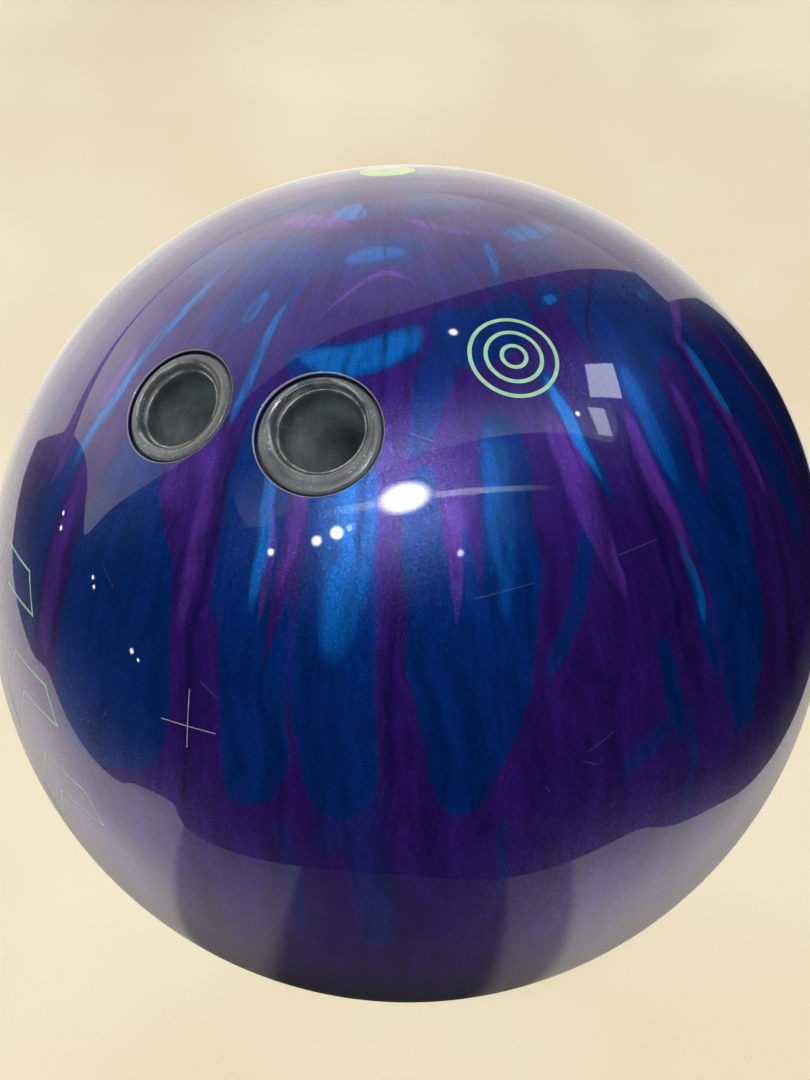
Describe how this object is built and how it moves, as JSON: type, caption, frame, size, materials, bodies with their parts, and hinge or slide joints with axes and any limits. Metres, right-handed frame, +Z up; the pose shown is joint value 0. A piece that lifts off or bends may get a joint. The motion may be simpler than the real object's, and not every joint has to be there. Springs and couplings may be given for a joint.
{
  "type": "bowling ball",
  "caption": "Ten-pin bowling ball with a pearl cover, finger holes fitted with soft inserts, no thumb hole, and a solid dense core.",
  "frame": {"origin": "centre of the ball", "axes": "+Z up with the ball resting on a floor below it; -Y towards the side that the grip-centre cross is on, +X to the right seen from there"},
  "size_m": [0.217, 0.217, 0.217],
  "materials": {
    "pearl_cover": "polished blue and purple pearl resin",
    "filler": "cast filled resin",
    "weight_block": "dense filled resin",
    "pin": "polished green resin",
    "mark_paint": "pale green enamel in engraved lines",
    "insert_vinyl": "smoke grey vinyl, sanded at the lip",
    "adhesive": "dark cured adhesive"
  },
  "bodies": {
    "root": {"coverstock": "pearl_cover", "outer_core": "filler", "weight_block": "weight_block", "core_pin": "pin", "middle_finger_insert": "insert_vinyl", "ring_finger_insert": "insert_vinyl", "middle_finger_adhesive": "adhesive", "ring_finger_adhesive": "adhesive", "locator_ring_inner": "mark_paint", "locator_ring_middle": "mark_paint", "locator_ring_outer": "mark_paint", "chevron_outline_upper": "mark_paint", "chevron_outline_middle": "mark_paint", "chevron_outline_lower": "mark_paint"}
  },
  "joints": []
}
